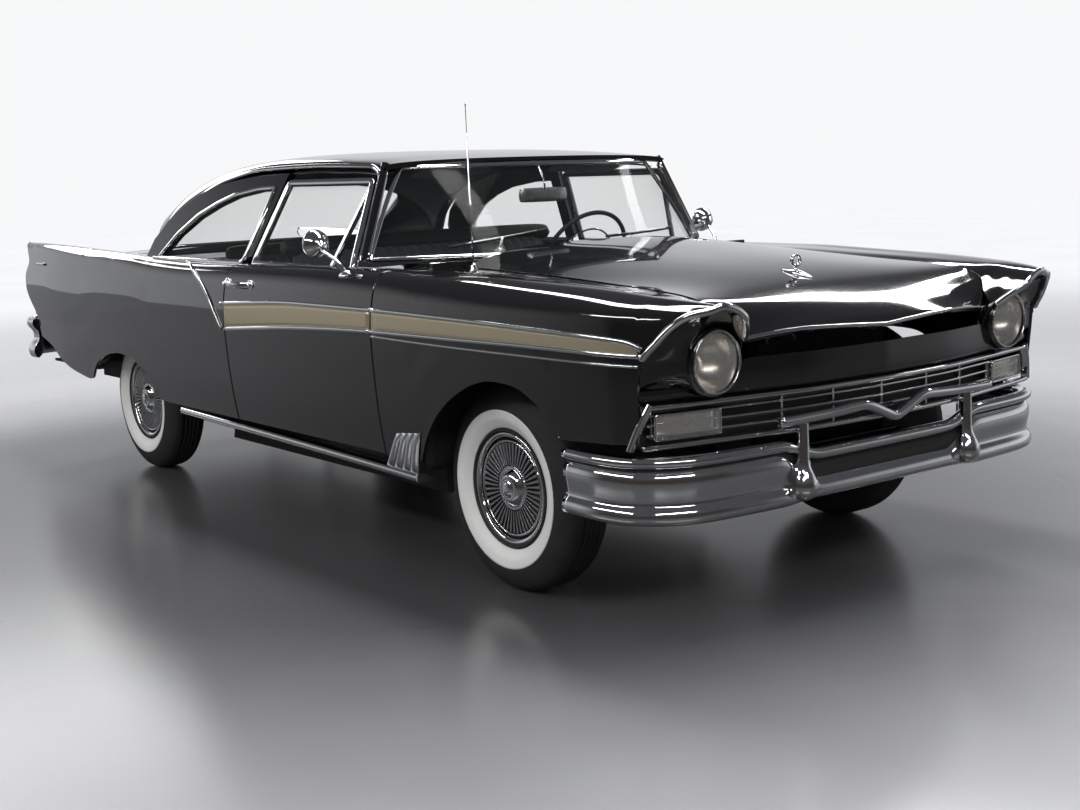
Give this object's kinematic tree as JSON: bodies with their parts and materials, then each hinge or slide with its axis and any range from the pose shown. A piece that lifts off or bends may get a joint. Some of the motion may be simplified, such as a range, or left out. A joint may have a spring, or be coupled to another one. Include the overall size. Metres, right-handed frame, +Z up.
{
  "type": "1950s two-door saloon car with tail fins",
  "caption": "Full-size 1950s two-door saloon with tail fins, opening doors, bonnet and boot, and steered, rolling wheels.",
  "frame": {"origin": "ground below the middle of the car's box", "axes": "+Z up, nose towards -Y, driver's side towards +X"},
  "size_m": [2.02, 5.2762, 1.579],
  "materials": {
    "paint": "gloss black",
    "chrome": "polished",
    "glass": "clear",
    "lamp_glass": "fluted",
    "tail_lens": "gloss red",
    "tyre": "matt",
    "chassis": "satin black",
    "iron": "rough",
    "steel": "dull",
    "upholstery": "satin",
    "trim": "gloss"
  },
  "bodies": {
    "body": {"fender_right": "paint", "fender_left": "paint", "quarter_right": "paint", "quarter_left": "paint", "roof": "paint", "rear_deck": "paint", "nose_panel": "paint", "cowl": "paint", "grille": "chrome", "bumper_front": "chrome", "bumper_rear": "chrome", "bumper_guard": "chrome", "aerial": "chrome", "sills": "chrome", "windshield": "glass", "backlight": "glass", "quarter_glass": "glass", "window_posts": "paint", "headlamps": "lamp_glass", "tail_lamps": "tail_lens", "frame": "chassis", "crossmembers": "chassis", "floor_pan": "chassis", "boot_floor": "chassis", "front_suspension": "chassis", "rear_axle": "chassis", "engine": "iron", "driveline": "iron", "exhaust": "steel", "fuel_tank": "steel", "front_seat": "upholstery", "rear_seat": "upholstery", "dashboard": "trim", "steering_column": "trim"},
    "hood": {"hood": "paint"},
    "trunk_lid": {"trunk_lid": "paint"},
    "steering_wheel": {"steering_wheel": "trim"},
    "door_left": {"door_left": "paint", "door_glass_left": "glass", "mirror_left": "chrome"},
    "knuckle_left": {"knuckle_left": "iron"},
    "wheel_front_left": {"wheel_front_left": "chrome", "tyre_front_left": "tyre"},
    "wheel_rear_left": {"wheel_rear_left": "chrome", "tyre_rear_left": "tyre"},
    "door_right": {"door_right": "paint", "door_glass_right": "glass", "mirror_right": "chrome"},
    "knuckle_right": {"knuckle_right": "iron"},
    "wheel_front_right": {"wheel_front_right": "chrome", "tyre_front_right": "tyre"},
    "wheel_rear_right": {"wheel_rear_right": "chrome", "tyre_rear_right": "tyre"}
  },
  "joints": [
    {"name": "door_left_hinge", "type": "hinge", "parent": "body", "child": "door_left", "pos_m": [0.975, -1.155, 0.7], "axis": [0, 0, -1], "range_deg": [0, 62]},
    {"name": "steer_left", "type": "hinge", "parent": "body", "child": "knuckle_left", "pos_m": [0.655, -1.725, 0.34], "axis": [0, 0, 1], "range_deg": [-32, 32]},
    {"name": "wheel_front_left_spin", "type": "hinge", "parent": "knuckle_left", "child": "wheel_front_left", "pos_m": [0.7495, -1.725, 0.34], "axis": [1, 0, 0], "continuous": true},
    {"name": "wheel_rear_left_spin", "type": "hinge", "parent": "body", "child": "wheel_rear_left", "pos_m": [0.7165, 1.272, 0.34], "axis": [1, 0, 0], "continuous": true},
    {"name": "door_right_hinge", "type": "hinge", "parent": "body", "child": "door_right", "pos_m": [-0.975, -1.155, 0.7], "axis": [0, 0, 1], "range_deg": [0, 62]},
    {"name": "steer_right", "type": "hinge", "parent": "body", "child": "knuckle_right", "pos_m": [-0.655, -1.725, 0.34], "axis": [0, 0, 1], "range_deg": [-32, 32]},
    {"name": "wheel_front_right_spin", "type": "hinge", "parent": "knuckle_right", "child": "wheel_front_right", "pos_m": [-0.7495, -1.725, 0.34], "axis": [1, 0, 0], "continuous": true},
    {"name": "wheel_rear_right_spin", "type": "hinge", "parent": "body", "child": "wheel_rear_right", "pos_m": [-0.7165, 1.272, 0.34], "axis": [1, 0, 0], "continuous": true},
    {"name": "hood_hinge", "type": "hinge", "parent": "body", "child": "hood", "pos_m": [0, -2.583, 0.846], "axis": [1, 0, 0], "range_deg": [0, 50]},
    {"name": "trunk_lid_hinge", "type": "hinge", "parent": "body", "child": "trunk_lid", "pos_m": [0, 1.602, 1.046], "axis": [1, 0, 0], "range_deg": [0, 62]},
    {"name": "steering_wheel_turn", "type": "hinge", "parent": "body", "child": "steering_wheel", "pos_m": [0.375, -0.675, 0.985], "axis": [0, 0.891, 0.454], "range_deg": [-768, 768]}
  ],
  "couplings": [
    {"joint": "steer_right", "follows": "steer_left", "ratio": 1},
    {"joint": "steering_wheel_turn", "follows": "steer_left", "ratio": 24}
  ]
}
